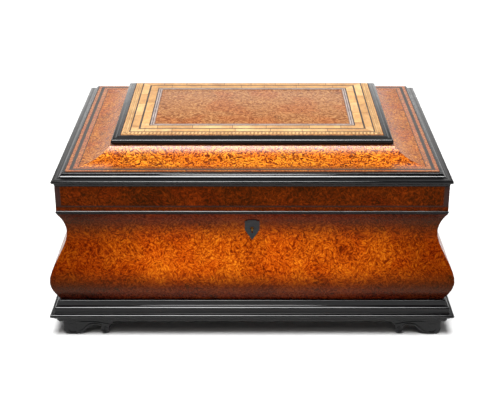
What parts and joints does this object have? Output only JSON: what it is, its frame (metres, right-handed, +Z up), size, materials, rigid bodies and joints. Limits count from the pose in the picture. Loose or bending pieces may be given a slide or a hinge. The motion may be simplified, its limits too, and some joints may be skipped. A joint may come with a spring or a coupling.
{
  "type": "cylinder music box",
  "caption": "Veneered table music box with a waisted case, raised hinged lid, bracket feet and a lever-wound pinned-cylinder movement with comb and fan governor.",
  "frame": {"origin": "on the floor under the middle of the case", "axes": "+X to the right along the width, front towards -Y, +Z up"},
  "size_m": [0.7554, 0.578, 0.36],
  "materials": {
    "burl_veneer": "polished burl veneer, shellac gloss",
    "dark_burl_veneer": "polished dark red-brown burl veneer",
    "pale_burl_panel": "faded burl panel in inlaid pale borders",
    "ebonised_wood": "black stained and polished",
    "carcase_wood": "stained softwood",
    "brass": "lacquered",
    "steel": "ground",
    "blued_steel": "blued",
    "gilt_iron": "gilt painted casting",
    "glass": "clear"
  },
  "bodies": {
    "case": {"case_front": "burl_veneer", "case_back": "burl_veneer", "case_left": "burl_veneer", "case_right": "burl_veneer", "bottom_board": "carcase_wood", "base_moulding": "ebonised_wood", "rim_moulding": "ebonised_wood", "foot_front_left": "ebonised_wood", "foot_front_right": "ebonised_wood", "foot_back_left": "ebonised_wood", "foot_back_right": "ebonised_wood", "lever_partition": "carcase_wood", "control_partition": "carcase_wood", "control_board": "dark_burl_veneer", "control_rod": "steel", "bearer_front": "carcase_wood", "bearer_back": "carcase_wood", "lock_body": "brass", "escutcheon": "blued_steel", "hinge_left_case_leaf": "brass", "hinge_right_case_leaf": "brass", "bedplate": "gilt_iron", "comb_base": "brass", "comb": "steel", "barrel_bracket": "brass", "centre_bracket": "brass", "cylinder_bracket": "brass", "governor_frame": "brass", "endless_cock": "brass"},
    "lid": {"lid_frieze": "dark_burl_veneer", "lid_moulding": "ebonised_wood", "lid_slope": "burl_veneer", "plateau_moulding": "ebonised_wood", "top_panel": "pale_burl_panel", "strike_plate": "brass", "hinge_left_lid_leaf": "brass", "hinge_right_lid_leaf": "brass"},
    "inner_lid": {"inner_lid_frame": "dark_burl_veneer", "inner_lid_glass": "glass", "inner_lid_knob": "brass"},
    "lock_bolt": {"lock_bolt": "steel"},
    "winding_arbor": {"winding_arbor": "steel", "ratchet_wheel": "steel"},
    "winding_lever": {"winding_lever": "brass", "winding_handle": "ebonised_wood"},
    "lever_pawl": {"lever_pawl": "blued_steel"},
    "click": {"click": "blued_steel"},
    "spring_barrel": {"spring_barrel": "brass", "mainspring": "blued_steel"},
    "cylinder_arbor": {"cylinder_arbor": "steel", "great_wheel": "brass"},
    "cylinder": {"cylinder_sleeve": "brass"},
    "tune_snail": {"tune_snail": "steel"},
    "governor_wheel_1": {"governor_wheel_1": "brass"},
    "governor_wheel_2": {"governor_wheel_2": "brass"},
    "endless": {"endless_screw": "steel", "fan": "brass"},
    "start_lever": {"start_lever": "brass"},
    "change_lever": {"change_lever": "brass"}
  },
  "joints": [
    {"name": "lid_hinge", "type": "hinge", "parent": "case", "child": "lid", "pos_m": [0, 0.2715, 0.25385], "axis": [-1, 0, 0], "range_deg": [0, 100]},
    {"name": "inner_lid_hinge", "type": "hinge", "parent": "case", "child": "inner_lid", "pos_m": [0.01, 0.2347, 0.2476], "axis": [-1, 0, 0], "range_deg": [0, 90.5]},
    {"name": "lock_bolt_slide", "type": "slide", "parent": "case", "child": "lock_bolt", "axis": [0, 0, 1], "range_m": [0, 0.008]},
    {"name": "arbor_winding", "type": "hinge", "parent": "case", "child": "winding_arbor", "pos_m": [-0.26, 0.0781, 0.174], "axis": [1, 0, 0], "range_deg": [0, 1800]},
    {"name": "winding_lever_swing", "type": "hinge", "parent": "case", "child": "winding_lever", "pos_m": [-0.272, 0.0781, 0.174], "axis": [-1, 0, 0], "range_deg": [0, 80]},
    {"name": "lever_pawl_pivot", "type": "hinge", "parent": "winding_lever", "child": "lever_pawl", "pos_m": [-0.261, 0.03849, 0.17957], "axis": [1, 0, 0], "range_deg": [0, 15], "stiffness_Nm_per_rad": 0.01, "springref_deg": -11.46},
    {"name": "click_pivot", "type": "hinge", "parent": "case", "child": "click", "pos_m": [-0.261, 0.11027, 0.147], "axis": [1, 0, 0], "range_deg": [0, 15], "stiffness_Nm_per_rad": 0.01, "springref_deg": -11.46},
    {"name": "cylinder_spin", "type": "hinge", "parent": "case", "child": "cylinder_arbor", "pos_m": [0, 0.015, 0.174], "axis": [1, 0, 0], "continuous": true},
    {"name": "barrel_spin", "type": "hinge", "parent": "case", "child": "spring_barrel", "pos_m": [-0.17, 0.0781, 0.174], "axis": [1, 0, 0], "continuous": true},
    {"name": "cylinder_shift", "type": "slide", "parent": "cylinder_arbor", "child": "cylinder", "axis": [1, 0, 0], "range_m": [0, 0.0032]},
    {"name": "snail_turn", "type": "hinge", "parent": "cylinder_arbor", "child": "tune_snail", "pos_m": [0.196, 0.015, 0.1968], "axis": [1, 0, 0], "range_deg": [0, 315.5]},
    {"name": "governor_1_spin", "type": "hinge", "parent": "case", "child": "governor_wheel_1", "pos_m": [0.2137, -0.03034, 0.162], "axis": [1, 0, 0], "continuous": true},
    {"name": "governor_2_spin", "type": "hinge", "parent": "case", "child": "governor_wheel_2", "pos_m": [0.2208, -0.05765, 0.158], "axis": [1, 0, 0], "continuous": true},
    {"name": "endless_spin", "type": "hinge", "parent": "case", "child": "endless", "pos_m": [0.2208, -0.06975, 0.16], "axis": [0, 0, 1], "continuous": true},
    {"name": "start_lever_swing", "type": "hinge", "parent": "case", "child": "start_lever", "pos_m": [0.286, -0.03, 0.198], "axis": [-1, 0, 0], "range_deg": [0, 24]},
    {"name": "change_lever_swing", "type": "hinge", "parent": "case", "child": "change_lever", "pos_m": [0.306, -0.03, 0.198], "axis": [-1, 0, 0], "range_deg": [0, 24]}
  ],
  "couplings": [
    {"joint": "inner_lid_hinge", "follows": "lid_hinge", "ratio": 0.9},
    {"joint": "barrel_spin", "follows": "cylinder_spin", "ratio": -0.3125},
    {"joint": "governor_1_spin", "follows": "cylinder_spin", "ratio": -5},
    {"joint": "governor_2_spin", "follows": "cylinder_spin", "ratio": 20},
    {"joint": "endless_spin", "follows": "cylinder_spin", "ratio": 480},
    {"joint": "snail_turn", "follows": "cylinder_shift", "rad_per_m": 1718}
  ]
}
